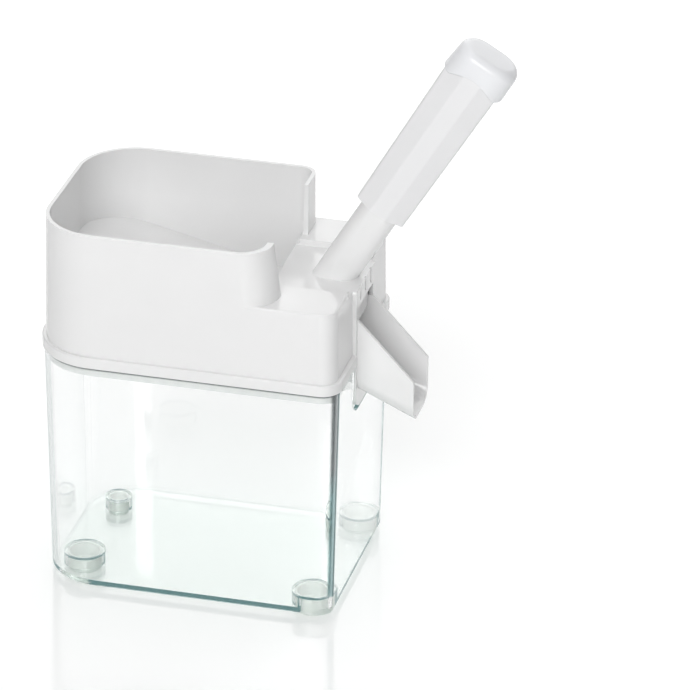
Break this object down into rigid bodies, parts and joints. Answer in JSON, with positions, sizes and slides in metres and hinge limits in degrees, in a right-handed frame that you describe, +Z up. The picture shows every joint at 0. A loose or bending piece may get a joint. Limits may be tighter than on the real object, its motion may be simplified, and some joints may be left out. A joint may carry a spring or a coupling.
{
  "type": "cherry pitter",
  "caption": "Hand cherry pitter: clear container for the stones, lift-off white head with hopper, side outlet and a tilted, sprung plunger with an oval push knob.",
  "frame": {"origin": "on the table under the middle of the whole object's length and width", "axes": "+X towards the outlet and the plunger's knob, +Y to the back, +Z up"},
  "size_m": [0.2334, 0.116, 0.3018],
  "materials": {
    "clear_plastic": "clear polished moulded plastic",
    "white_plastic": "glossy moulded plastic",
    "grip_plastic": "satin moulded plastic",
    "knob_plastic": "glossy moulded plastic",
    "soft_foot": "milky soft plastic",
    "seal_silicone": "soft translucent silicone",
    "stainless_steel": "plain drawn steel",
    "spring_steel": "wound wire"
  },
  "bodies": {
    "container": {"pit_container": "clear_plastic", "foot_front_left": "soft_foot", "foot_front_right": "soft_foot", "foot_rear_left": "soft_foot", "foot_rear_right": "soft_foot"},
    "head": {"lid_frame": "white_plastic", "hopper_housing": "white_plastic", "hopper_tray": "white_plastic", "plunger_base": "white_plastic", "guide_tube": "white_plastic", "spring_seat": "white_plastic", "tube_cap": "white_plastic", "stripper": "white_plastic", "seal_holder": "white_plastic", "pit_seal": "seal_silicone", "chute": "white_plastic", "end_cover": "white_plastic", "return_spring": "spring_steel", "frame_screw_1": "stainless_steel", "frame_screw_2": "stainless_steel", "frame_screw_3": "stainless_steel", "frame_screw_4": "stainless_steel"},
    "plunger": {"grip_sleeve": "grip_plastic", "press_knob": "knob_plastic", "plunger_rod": "stainless_steel", "stoning_pin": "stainless_steel", "spring_collar": "stainless_steel", "cap_screw": "stainless_steel"}
  },
  "joints": [
    {"name": "lid_lift", "type": "slide", "parent": "container", "child": "head", "axis": [0, 0, 1], "range_m": [0, 0.06]},
    {"name": "plunger_press", "type": "slide", "parent": "head", "child": "plunger", "axis": [-0.515, 0, -0.8572], "range_m": [0, 0.0355], "stiffness_N_per_m": 250, "springref_m": -0.02, "deforming": ["return_spring"]}
  ]
}
